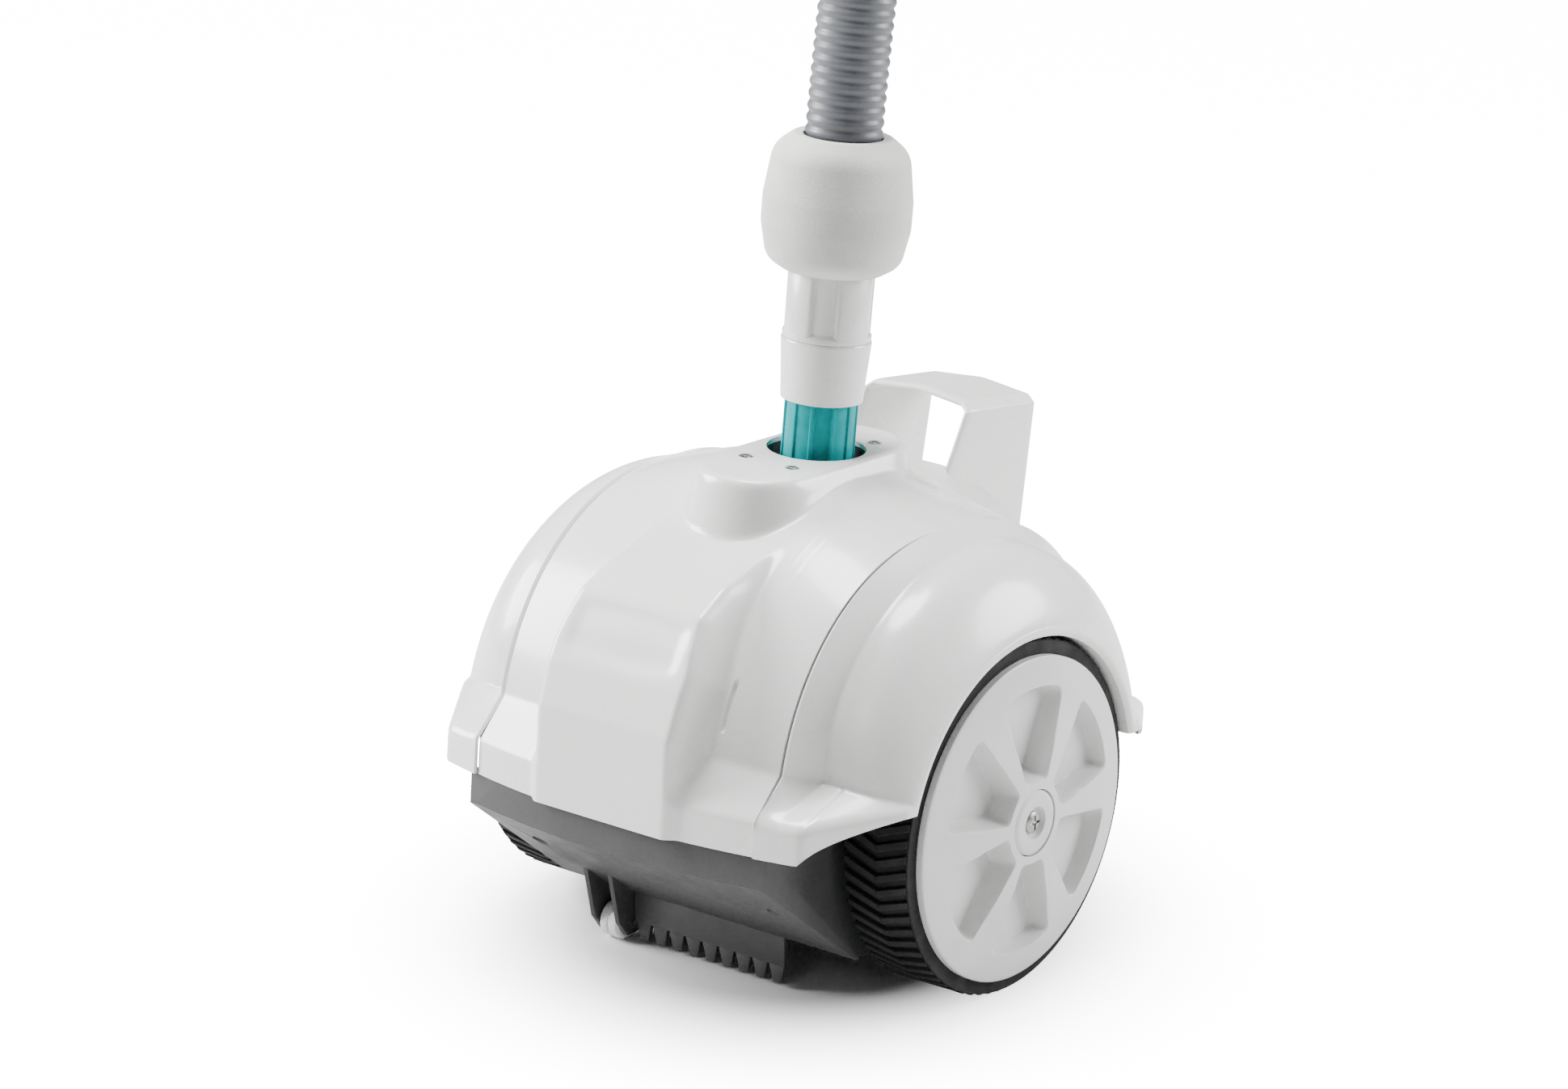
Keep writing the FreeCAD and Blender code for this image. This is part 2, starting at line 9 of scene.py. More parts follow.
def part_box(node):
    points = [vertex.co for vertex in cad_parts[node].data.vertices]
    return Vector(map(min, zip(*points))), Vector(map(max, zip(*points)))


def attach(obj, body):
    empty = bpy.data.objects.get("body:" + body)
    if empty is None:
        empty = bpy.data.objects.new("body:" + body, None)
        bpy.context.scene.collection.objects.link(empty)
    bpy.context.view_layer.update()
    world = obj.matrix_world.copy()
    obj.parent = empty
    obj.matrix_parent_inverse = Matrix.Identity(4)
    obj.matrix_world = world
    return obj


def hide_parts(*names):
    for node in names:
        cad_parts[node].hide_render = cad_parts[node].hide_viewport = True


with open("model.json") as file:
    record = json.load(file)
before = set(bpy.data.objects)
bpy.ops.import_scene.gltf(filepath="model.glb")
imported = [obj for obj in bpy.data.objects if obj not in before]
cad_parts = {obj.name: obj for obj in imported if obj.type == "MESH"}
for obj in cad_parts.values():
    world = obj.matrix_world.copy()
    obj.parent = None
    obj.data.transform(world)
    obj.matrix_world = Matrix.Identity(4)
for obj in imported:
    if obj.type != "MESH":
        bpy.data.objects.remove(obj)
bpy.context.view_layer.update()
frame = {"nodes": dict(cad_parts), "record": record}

mm = 0.001
joints = {j["name"]: j for j in frame["record"]["behaviour"]["joints"]}
axle = Vector(joints["wheel_spin"]["pos_m"])
pivot = Vector(joints["outlet_swivel"]["pos_m"])
outletWay = Vector(joints["outlet_swivel"]["axis"]).normalized()
cuffMount = frame["record"]["mounts"][0]
hoseWay = Vector(cuffMount["axis"]).normalized()
bodyPitch = math.atan2(outletWay.y, outletWay.z)
riserLean = math.radians(7.5)

# the body is drawn level, with the axle as its origin, and then pitched nose up
bodyToRow = Matrix.Translation(axle) @ Matrix.Rotation(-bodyPitch, 4, "X")
axleToRow = Matrix.Translation(axle)
riserToRow = Matrix.Translation(pivot) @ Matrix.Rotation(-riserLean, 4, "X")
print("frame loaded, body pitch", round(math.degrees(bodyPitch), 2))


# materials

def makeMaterial(name, colour, roughness, coat=0.0, metallic=0.0, specular=0.5):
    material = bpy.data.materials.new(name)
    material.use_nodes = True
    nodes = material.node_tree.nodes
    shader = nodes["Principled BSDF"]
    shader.inputs["Base Color"].default_value = (*colour, 1)
    shader.inputs["Roughness"].default_value = roughness
    shader.inputs["Metallic"].default_value = metallic
    shader.inputs["Specular IOR Level"].default_value = specular
    shader.inputs["Coat Weight"].default_value = coat
    shader.inputs["Coat Roughness"].default_value = 0.12
    return material


def addNoise(material, scale, detail=4.0, stretch=(1, 1, 1)):
    tree = material.node_tree
    place = tree.nodes.new("ShaderNodeTexCoord")
    mapping = tree.nodes.new("ShaderNodeMapping")
    mapping.inputs["Scale"].default_value = stretch
    noise = tree.nodes.new("ShaderNodeTexNoise")
    noise.inputs["Scale"].default_value = scale
    noise.inputs["Detail"].default_value = detail
    tree.links.new(place.outputs["Object"], mapping.inputs["Vector"])
    tree.links.new(mapping.outputs["Vector"], noise.inputs["Vector"])
    return noise


def tint(material, scale, darker, lighter, low=0.35, high=0.65, stretch=(1, 1, 1)):
    tree = material.node_tree
    noise = addNoise(material, scale, stretch=stretch)
    ramp = tree.nodes.new("ShaderNodeValToRGB")
    ramp.color_ramp.elements[0].position = low
    ramp.color_ramp.elements[0].color = (*darker, 1)
    ramp.color_ramp.elements[1].position = high
    ramp.color_ramp.elements[1].color = (*lighter, 1)
    tree.links.new(noise.outputs["Fac"], ramp.inputs["Fac"])
    tree.links.new(ramp.outputs["Color"], tree.nodes["Principled BSDF"].inputs["Base Color"])


def polish(material, scale, low, high, stretch=(1, 1, 1)):
    tree = material.node_tree
    noise = addNoise(material, scale, stretch=stretch)
    spread = tree.nodes.new("ShaderNodeMapRange")
    spread.inputs["From Min"].default_value = 0.3
    spread.inputs["From Max"].default_value = 0.7
    spread.inputs["To Min"].default_value = low
    spread.inputs["To Max"].default_value = high
    tree.links.new(noise.outputs["Fac"], spread.inputs["Value"])
    tree.links.new(spread.outputs["Result"], tree.nodes["Principled BSDF"].inputs["Roughness"])


def grain(material, scale, height, detail=3.0, stretch=(1, 1, 1)):
    tree = material.node_tree
    noise = addNoise(material, scale, detail, stretch)
    bump = tree.nodes.new("ShaderNodeBump")
    bump.inputs["Strength"].default_value = 1.0
    bump.inputs["Distance"].default_value = height
    tree.links.new(noise.outputs["Fac"], bump.inputs["Height"])
    tree.links.new(bump.outputs["Normal"], tree.nodes["Principled BSDF"].inputs["Normal"])


def whiteShell():
    material = makeMaterial("white shell", (0.76, 0.76, 0.748), 0.26, coat=0.4)
    tint(material, 9, (0.74, 0.74, 0.728), (0.78, 0.78, 0.768))
    polish(material, 30, 0.22, 0.34)
    grain(material, 420, 0.00004)
    return material


def wheelPlastic():
    material = makeMaterial("wheel plastic", (0.60, 0.60, 0.595), 0.4)
    tint(material, 24, (0.575, 0.575, 0.57), (0.63, 0.63, 0.625))
    polish(material, 60, 0.32, 0.48)
    grain(material, 900, 0.00005)
    return material


def greyBase():
    material = makeMaterial("grey base", (0.034, 0.034, 0.0355), 0.5)
    tint(material, 14, (0.03, 0.03, 0.0315), (0.038, 0.038, 0.0395))
    polish(material, 45, 0.42, 0.6)
    grain(material, 1400, 0.00008)
    return material


def tyreBlack():
    material = makeMaterial("tyre black", (0.006, 0.006, 0.0063), 0.7, specular=0.3)
    tint(material, 40, (0.0045, 0.0045, 0.0048), (0.008, 0.008, 0.0083))
    polish(material, 80, 0.6, 0.85)
    grain(material, 1100, 0.00012)
    return material


def tealPlastic():
    material = makeMaterial("teal plastic", (0.0, 0.30, 0.32), 0.5, specular=0.12)
    tint(material, 60, (0.0, 0.27, 0.29), (0.0, 0.33, 0.35))
    polish(material, 90, 0.36, 0.5)
    return material


def floatFoam():
    material = makeMaterial("float foam", (0.60, 0.60, 0.58), 0.75)
    tint(material, 30, (0.57, 0.57, 0.55), (0.63, 0.63, 0.61))
    polish(material, 200, 0.66, 0.84)
    grain(material, 650, 0.00025, detail=5)
    return material


def hoseGrey():
    material = makeMaterial("hose grey", (0.11, 0.118, 0.13), 0.42)
    tint(material, 35, (0.09, 0.095, 0.107), (0.135, 0.143, 0.155), stretch=(1, 1, 0.4))
    polish(material, 120, 0.34, 0.52)
    grain(material, 700, 0.00006)
    return material


def cuffGrey():
    material = makeMaterial("cuff grey", (0.15, 0.16, 0.17), 0.5)
    tint(material, 50, (0.135, 0.145, 0.155), (0.17, 0.18, 0.19))
    grain(material, 900, 0.0001)
    return material


def innerPlastic():
    material = makeMaterial("inner plastic", (0.2, 0.205, 0.21), 0.5)
    tint(material, 30, (0.17, 0.175, 0.18), (0.23, 0.235, 0.24))
    grain(material, 900, 0.00008)
    return material


def bearingNylon():
    material = makeMaterial("bearing nylon", (0.74, 0.73, 0.68), 0.42)
    material.node_tree.nodes["Principled BSDF"].inputs["Subsurface Weight"].default_value = 0.05
    tint(material, 50, (0.70, 0.69, 0.63), (0.78, 0.77, 0.73))
    grain(material, 800, 0.00004)
    return material


def screwSteel():
    material = makeMaterial("screw steel", (0.36, 0.36, 0.355), 0.32, metallic=1.0)
    polish(material, 300, 0.22, 0.42, stretch=(1, 1, 6))
    grain(material, 1800, 0.00003, stretch=(1, 6, 1))
    return material


def sealRubber():
    material = makeMaterial("seal rubber", (0.02, 0.02, 0.02), 0.6)
    polish(material, 150, 0.5, 0.75)
    grain(material, 1200, 0.0001)
    return material


finishes = {
    "white_shell": whiteShell(), "wheel_plastic": wheelPlastic(), "grey_base": greyBase(),
    "tyre_black": tyreBlack(), "teal_plastic": tealPlastic(), "float_foam": floatFoam(),
    "hose_grey": hoseGrey(), "hose_cuff_grey": cuffGrey(), "inner_plastic": innerPlastic(),
    "bearing_nylon": bearingNylon(), "steel": screwSteel(), "seal_rubber": sealRubber(),
}
nodeSlots = {s["node"]: s["material_slot"] for s in frame["record"]["subparts"]}
for nodeName, part in frame["nodes"].items():
    part.data.materials.clear()
    part.data.materials.append(finishes[nodeSlots[nodeName]])
print("materials ready", len(finishes))


# mesh helpers

def newPiece(name, verts, faces, place, slotName, sharpAngle=32):
    mesh = bpy.data.meshes.new(name)
    mesh.from_pydata([tuple(v) for v in verts], [], faces)
    mesh.transform(place)
    mesh.validate()
    mesh.materials.append(finishes[slotName])
    piece = bpy.data.objects.new(name, mesh)
    bpy.context.collection.objects.link(piece)
    shadeSmooth(piece, sharpAngle)
    return piece


def shadeSmooth(piece, sharpAngle=32):
    piece.data.shade_smooth()
    piece.data.set_sharp_from_angle(angle=math.radians(sharpAngle))


def gridFaces(rows, columns, closeRows=False, closeColumns=False, flip=False):
    faces = []
    for i in range(rows if closeRows else rows - 1):
        for j in range(columns if closeColumns else columns - 1):
            i2, j2 = (i + 1) % rows, (j + 1) % columns
            quad = (i * columns + j, i * columns + j2, i2 * columns + j2, i2 * columns + j)
            faces.append(quad[::-1] if flip else quad)
    return faces


def outward(piece):
    work = bmesh.new()
    work.from_mesh(piece.data)
    bmesh.ops.remove_doubles(work, verts=work.verts, dist=0.00001)
    bmesh.ops.recalc_face_normals(work, faces=work.faces)
    work.to_mesh(piece.data)
    work.free()


def lathe(name, profile, place, slotName, sides=96, axis="Z", sharpAngle=32):
    # closed outline of (along, radius) in mm, turned about the axis
    verts = []
    for along, radius in profile:
        for k in range(sides):
            turn = 2 * math.pi * k / sides
            u, v = radius * math.cos(turn), radius * math.sin(turn)
            verts.append((along * mm, u * mm, v * mm) if axis == "X" else (u * mm, v * mm, along * mm))
    faces = gridFaces(len(profile), sides, closeRows=True, closeColumns=True)
    piece = newPiece(name, verts, faces, place, slotName, sharpAngle)
    outward(piece)
    shadeSmooth(piece, sharpAngle)
    return piece


def rounded(outline, radius, steps=4):
    # closed outline with every corner rounded; a corner given as (a, b, r) has its own radius
    out = []
    count = len(outline)
    for i, corner in enumerate(outline):
        here = Vector(corner[:2])
        back = Vector(outline[i - 1][:2]) - here
        on = Vector(outline[(i + 1) % count][:2]) - here
        r = corner[2] if len(corner) > 2 else radius
        bend = back.angle(on) if back.length and on.length else math.pi
        if r < 0.01 or bend > math.radians(178):
            out.append((here.x, here.y))
            continue
        reach = min(r / math.tan(bend / 2), 0.48 * back.length, 0.48 * on.length)
        start, end = here + back.normalized() * reach, here + on.normalized() * reach
        for k in range(steps + 1):
            t = k / steps
            p = start * (1 - t) ** 2 + here * 2 * t * (1 - t) + end * t ** 2
            out.append((p.x, p.y))
    return out


def bake(piece):
    # turns the piece with its modifiers into a plain mesh
    graph = bpy.context.evaluated_depsgraph_get()
    mesh = bpy.data.meshes.new_from_object(piece.evaluated_get(graph))
    piece.modifiers.clear()
    old = piece.data
    piece.data = mesh
    bpy.data.meshes.remove(old)
    mesh.name = piece.name
    return piece


def join(name, pieces):
    work = bmesh.new()
    for piece in pieces:
        work.from_mesh(piece.data)
    mesh = bpy.data.meshes.new(name)
    work.to_mesh(mesh)
    work.free()
    mesh.materials.append(pieces[0].data.materials[0])
    whole = bpy.data.objects.new(name, mesh)
    bpy.context.collection.objects.link(whole)
    for piece in pieces:
        bpy.data.objects.remove(piece)
    shadeSmooth(whole)
    return whole


def repeatTree():
    # copies of a piece, each turned and moved on from the one before
    tree = bpy.data.node_groups.new("repeatPiece", "GeometryNodeTree")
    face = tree.interface
    face.new_socket("Geometry", in_out="INPUT", socket_type="NodeSocketGeometry")
    face.new_socket("Count", in_out="INPUT", socket_type="NodeSocketInt")
    face.new_socket("Turn", in_out="INPUT", socket_type="NodeSocketVector")
    face.new_socket("Step", in_out="INPUT", socket_type="NodeSocketVector")
    face.new_socket("Finish", in_out="INPUT", socket_type="NodeSocketMaterial")
    face.new_socket("Geometry", in_out="OUTPUT", socket_type="NodeSocketGeometry")
    add = tree.nodes.new
    given, result = add("NodeGroupInput"), add("NodeGroupOutput")
    index = add("GeometryNodeInputIndex")
    turn, step = add("ShaderNodeVectorMath"), add("ShaderNodeVectorMath")
    turn.operation = step.operation = "SCALE"
    points, place = add("GeometryNodePoints"), add("GeometryNodeInstanceOnPoints")
    real, finish = add("GeometryNodeRealizeInstances"), add("GeometryNodeSetMaterial")
    link = tree.links.new
    link(given.outputs["Turn"], turn.inputs[0])
    link(given.outputs["Step"], step.inputs[0])
    link(index.outputs["Index"], turn.inputs["Scale"])
    link(index.outputs["Index"], step.inputs["Scale"])
    link(given.outputs["Count"], points.inputs["Count"])
    link(step.outputs["Vector"], points.inputs["Position"])
    link(points.outputs["Points"], place.inputs["Points"])
    link(given.outputs["Geometry"], place.inputs["Instance"])
    link(turn.outputs["Vector"], place.inputs["Rotation"])
    link(place.outputs["Instances"], real.inputs["Geometry"])
    link(real.outputs["Geometry"], finish.inputs["Geometry"])
    link(given.outputs["Finish"], finish.inputs["Material"])
    link(finish.outputs["Geometry"], result.inputs["Geometry"])
    return tree


repeater = repeatTree()


def repeated(piece, count, place, turn=(0, 0, 0), step=(0, 0, 0)):
    # the piece is drawn round the origin; its copies are baked and then put in place
    modifier = piece.modifiers.new("repeat", "NODES")
    modifier.node_group = repeater
    values = {"Count": count, "Turn": turn, "Step": step, "Finish": piece.data.materials[0]}
    for item in repeater.interface.items_tree:
        if item.in_out == "INPUT" and item.name in values:
            modifier[item.identifier] = values[item.name]
    piece.update_tag()
    bpy.context.view_layer.update()
    bake(piece)
    piece.data.transform(place)
    shadeSmooth(piece)
    return piece


def softBlock(name, corners, bevel, slotName, place=None, segments=2):
    # eight corners in mm (four below, four above), with bevelled edges
    faces = [(3, 2, 1, 0), (4, 5, 6, 7), (0, 1, 5, 4), (1, 2, 6, 5), (2, 3, 7, 6), (3, 0, 4, 7)]
    piece = newPiece(name, [Vector(c) * mm for c in corners], faces, place or Matrix(), slotName)
    outward(piece)
    work = bmesh.new()
    work.from_mesh(piece.data)
    bmesh.ops.bevel(work, geom=work.edges[:], offset=bevel * mm, segments=segments, profile=0.5,
                    affect="EDGES")
    work.to_mesh(piece.data)
    work.free()
    shadeSmooth(piece)
    return piece


def cutWith(piece, cutter):
    modifier = piece.modifiers.new("cut", "BOOLEAN")
    modifier.operation, modifier.solver, modifier.object = "DIFFERENCE", "EXACT", cutter
    bpy.context.view_layer.update()
    bake(piece)
    bpy.data.objects.remove(cutter)
    shadeSmooth(piece)
    return piece


def softened(node, body, width, segments=3, angle=30, flatten=1.0):
    # a moulded copy of a CAD node: merged, its flats joined and its edges rounded
    source = frame["nodes"][node]
    work = bmesh.new()
    work.from_mesh(source.data)
    bmesh.ops.remove_doubles(work, verts=work.verts, dist=0.00001)
    bmesh.ops.dissolve_limit(work, angle_limit=math.radians(flatten), verts=work.verts, edges=work.edges)
    mesh = bpy.data.meshes.new(node + "_moulded")
    work.to_mesh(mesh)
    work.free()
    mesh.materials.append(finishes[nodeSlots[node]])
    piece = bpy.data.objects.new(node + "_moulded", mesh)
    bpy.context.collection.objects.link(piece)
    modifier = piece.modifiers.new("edges", "BEVEL")
    modifier.width, modifier.segments = width * mm, segments
    modifier.limit_method, modifier.angle_limit = "ANGLE", math.radians(angle)
    modifier.use_clamp_overlap = True
    bake(piece)
    shadeSmooth(piece, 40)
    finishPiece(piece, body, node)


def finishPiece(piece, body, *nodes):
    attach(piece, body)
    if nodes:
        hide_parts(*nodes)


# camera

view = {"place": (1.9803, -2.5933, 1.4424), "around": 37.509, "above": 20.537, "lens": 148.45}
cameraData = bpy.data.cameras.new("camera")
cameraData.lens, cameraData.sensor_width = view["lens"], 36
camera = bpy.data.objects.new("camera", cameraData)
camera.location = view["place"]
camera.rotation_euler = (math.radians(90 - view["above"]), 0, math.radians(view["around"]))
bpy.context.collection.objects.link(camera)
bpy.context.scene.camera = camera


# hose: a fixed length on one smooth line, held up from outside

hoseSizes = {"diameter": 0.042, "rib": 6.5, "depth": 1.15, "wall": 1.6, "ringsPerRib": 8, "sides": 56}
hoseRoute = [(0, 0.029381, 0.371964), (0, 0.041389, 0.463177), (0, 0.057426, 0.549703),
             (0, 0.077035, 0.631383)]


def splineMesh(route):
    curve = bpy.data.curves.new("hoseLine", "CURVE")
    curve.dimensions, curve.resolution_u = "3D", 64
    line = curve.splines.new("NURBS")
    line.points.add(len(route) - 1)
    for point, place in zip(line.points, route):
        point.co = (*place, 1)
    line.order_u = 3
    line.use_endpoint_u = True
    holder = bpy.data.objects.new("hoseLine", curve)
    bpy.context.collection.objects.link(holder)
    bpy.context.view_layer.update()
    mesh = bpy.data.meshes.new_from_object(holder)
    points = np.array([v.co[:] for v in mesh.vertices])
    bpy.data.objects.remove(holder)
    return points


def hosePiece():
    line = splineMesh(hoseRoute)
    reach = np.r_[0, np.cumsum(np.linalg.norm(np.diff(line, axis=0), axis=1))]
    length = float(reach[-1])
    count = int(length / (hoseSizes["rib"] * mm) * hoseSizes["ringsPerRib"])
    at = np.linspace(0, length, count)
    centres = np.stack([np.interp(at, reach, line[:, k]) for k in range(3)], axis=1)
    ways = np.gradient(centres, axis=0)
    ways /= np.linalg.norm(ways, axis=1)[:, None]
    side = np.array([1.0, 0, 0])
    lift = np.cross(ways, side)
    phase = 2 * np.pi * at / (hoseSizes["rib"] * mm)
    crest = hoseSizes["diameter"] / 2 - hoseSizes["depth"] * mm * (0.5 - 0.5 * np.cos(phase)) ** 1.4
    rings = []
    for inner in (False, True):
        radius = crest - hoseSizes["wall"] * mm if inner else crest
        order = range(count - 1, -1, -1) if inner else range(count)
        for i in order:
            for k in range(hoseSizes["sides"]):
                turn = 2 * math.pi * k / hoseSizes["sides"]
                rings.append(centres[i] + radius[i] * (math.cos(turn) * side + math.sin(turn) * lift[i]))
    faces = gridFaces(2 * count, hoseSizes["sides"], closeRows=True, closeColumns=True)
    piece = newPiece("corrugated_hose", rings, faces, Matrix(), "hose_grey", 60)
    outward(piece)
    shadeSmooth(piece, 60)
    finishPiece(piece, "hose_column", "hose")
    return piece, [tuple(c) for c in centres], length


hose, hoseLine, hoseLength = hosePiece()


def alongHose(origin):
    return Matrix.Translation(origin) @ hoseWay.to_track_quat("Z", "Y").to_matrix().to_4x4()


def cuffPiece():
    # push-fit end sleeve with grip rings, its mouth rolled over
    end = Vector(hoseRoute[-1])
    outline = [(-16, 22.2), (-14, 23.2)]
    for k in range(4):
        z = -11 + 7 * k
        outline += [(z, 23.2), (z + 1, 23.9), (z + 3, 23.9), (z + 4, 23.2)]
    outline += [(22, 22.6), (34, 22.6), (36, 24.0), (39, 24.0), (40, 23.4), (40, 19.6), (39, 19.2)]
    outline += [(0.2, 19.2), (0.2, 21.3), (-16, 21.3)]
    piece = lathe("hose_end_cuff", rounded(outline, 0.5, 3), alongHose(end), "hose_cuff_grey", 72)
    finishPiece(piece, "hose_column", "hose_cuff")
    return piece


cuff = cuffPiece()
print("hose ready, length", round(hoseLength, 4))


# body skins: a radius round the axle line, angles from the front horizon

axleUp = 98.0    # the axle's height over the floor
body = {
    "seamX": 93.0, "gap": 0.5, "lipX": 148.5, "low": 102 - axleUp, "brim": 121 - axleUp, "ledge": 17.0,
    "arch": 102.0, "archRear": 107.0, "wall": 2.6, "fenderWall": 2.0, "cornerX": 118.0,
    "cornerReach": 155.3, "creaseX": 105.0, "soften": 1.5, "spineWall": 8.0,
    "platform": 272.0 - axleUp, "platformWide": 33.0, "platformLong": 38.0,
    "platformMiddle": -13.0, "platformDraft": 0.18, "outletRadius": 27.0,
    "screwX": (-15.5, 15.5), "screwY": (-41.5, 31.5), "screwRadius": 4.2,
}
recess = {"level": 199.0, "half": 15.5, "bow": 3.0, "halfWidth": 39.0, "depth": 1.2}
slot = {"x": 56.0, "level": 170.0, "half": 13.5, "halfWidth": 1.6, "depth": 2.4}
spineSide = np.array([(-175.35, 102), (-175.35, 155), (-167, 180), (-157.5, 200), (-147, 216),
                      (-125, 227.5), (-112, 231), (-88, 240), (-60, 246), (72, 255.5), (100, 243),
                      (122, 226), (140, 206), (152, 185), (160, 160), (165, 135), (166, 121),
                      (166, 102)]) - (0, axleUp)


def smoothStep(t):
    t = np.clip(t, 0, 1)
    return t * t * (3 - 2 * t)


def upperRadius(x, angle, rear):
    side = 1 - (x / body["seamX"]) ** 2
    rise = np.radians(angle)
    swell = np.where(rear, 2, 8) * np.sin(np.pi * (angle - body["ledge"]) / (90 - body["ledge"]))
    return 149 + swell + side * (11 * np.cos(rise) ** 2 + 18 * np.sin(rise) ** 6)


def fenderRadius(x, angle, rear):
    crease = 142 - 17 * (np.clip(90 - angle, 0, 90) / 72) ** 3.5
    share = np.clip((x - body["seamX"]) / 12, 0, 1)
    inner = upperRadius(np.full_like(x, body["seamX"]), angle, rear) * (1 - share) + crease * share
    out = np.clip((x - body["creaseX"]) / (body["lipX"] - body["creaseX"]), 0, 1)
    outer = body["creaseX"] + (crease - body["creaseX"]) * np.clip(1 - out ** 2.2, 0, 1) ** 0.8
    return np.where(x <= body["creaseX"], inner, outer)


def skirtReach(x):
    far = np.abs(x)
    beyond = (far - body["cornerX"]) / (body["lipX"] - body["cornerX"])
    corner = body["cornerReach"] - beyond * (body["cornerReach"] - body["archRear"])
    return np.where(far <= body["cornerX"], 173 - 11 * (far / body["seamX"]) ** 2, corner)


def beyondCorner(x):
    return np.clip((np.abs(x) - body["cornerX"]) / (body["lipX"] - body["cornerX"]), 0, 1)


def skirtLow(x):
    return body["low"] + 22 * beyondCorner(x) ** 0.55


def skinRadius(x, angle, upper):
    # upper body above the ledge, ledge and skirt below it
    rear = angle > 90
    half = np.minimum(angle, 180 - angle)
    rise = np.radians(half)
    reach, brim = skirtReach(x), body["brim"] + 6 * beyondCorner(x)
    ledge = np.radians(body["ledge"])
    foot = upper(np.abs(x), np.full_like(half, body["ledge"]), rear)
    footY, footZ = foot * np.cos(ledge), foot * np.sin(ledge)
    normalY, normalZ = footZ - brim, reach - footY
    onLedge = (normalY * reach + normalZ * brim) / (normalY * np.cos(rise) + normalZ * np.sin(rise))
    skirt = np.minimum(reach / np.cos(rise), onLedge)
    above = upper(np.abs(x), np.maximum(half, body["ledge"]), rear)
    return np.where(half < body["ledge"], skirt, above)


def spineRadius(angle):
    t = np.linspace(0, 1, 40)[:, None]
    fine = np.vstack([a * (1 - t) + b * t for a, b in zip(spineSide, spineSide[1:])])
    turn = np.degrees(np.arctan2(fine[:, 1], -fine[:, 0]))
    return np.interp(angle, turn, np.hypot(fine[:, 0], fine[:, 1]))


def platformTop(x, y):
    # height of the drafted outlet platform over the axle
    past = np.maximum(np.abs(y - body["platformMiddle"]) - body["platformLong"], 0)
    outside = np.maximum(np.hypot(x, past) - body["platformWide"], 0)
    return body["platform"] - outside / body["platformDraft"]


def withPlatform(x, angle, radius):
    # moves the skin out to the platform where the platform stands proud of it
    rise = np.radians(angle)
    low, high = radius.copy(), np.full_like(radius, 240.0)
    for _ in range(22):
        middle = (low + high) / 2
        under = middle * np.sin(rise) < platformTop(x, -middle * np.cos(rise))
        low, high = np.where(under, middle, low), np.where(under, high, middle)
    proud = radius * np.sin(rise) < platformTop(x, -radius * np.cos(rise))
    return np.where(proud, low, radius)


def hoodRadius(x, angle):
    radius = skinRadius(x, angle, upperRadius)
    spine = spineRadius(angle)
    height = spine * np.sin(np.radians(angle)) + axleUp
    halfWidth = np.interp(height, (102, 190, 250, 262), (42, 45, 34, 32))
    shown = smoothStep((halfWidth + body["spineWall"] - np.abs(x)) / body["spineWall"])
    radius = radius + shown * np.maximum(spine - radius, 0)
    level = radius * np.sin(np.radians(angle)) + axleUp
    # plain shallow recess on the centre panel, bowed above and below
    bow = recess["half"] - recess["bow"] * (x / 36) ** 2
    inside = smoothStep((bow - np.abs(level - recess["level"])) / 5)
    inside *= smoothStep((recess["halfWidth"] - np.abs(x)) / 8)
    radius = radius - recess["depth"] * inside * (angle < 90)
    return withPlatform(x, angle, radius)


def blurred(field, sigma, axis):
    # rounds the moulded edges: a bell-shaped average along one direction of the grid
    span = int(3 * sigma + 1)
    weights = np.exp(-0.5 * (np.arange(-span, span + 1) / sigma) ** 2)
    weights /= weights.sum()
    pad = [(0, 0), (0, 0)]
    pad[axis] = (span, span)
    wide = np.pad(field, pad, mode="reflect", reflect_type="odd")
    return np.apply_along_axis(lambda v: np.convolve(v, weights, mode="valid"), axis, wide)


def polarPoints(x, angle, radius):
    rise = np.radians(angle)
    return np.stack([x, -radius * np.cos(rise), radius * np.sin(rise)], axis=-1) * mm


def footAngles(x, radius=None):
    low = skirtLow(x)
    if radius is None:
        return np.degrees(np.arctan2(low, skirtReach(x)))
    return np.degrees(np.arcsin(np.clip(low / radius, -1, 1)))


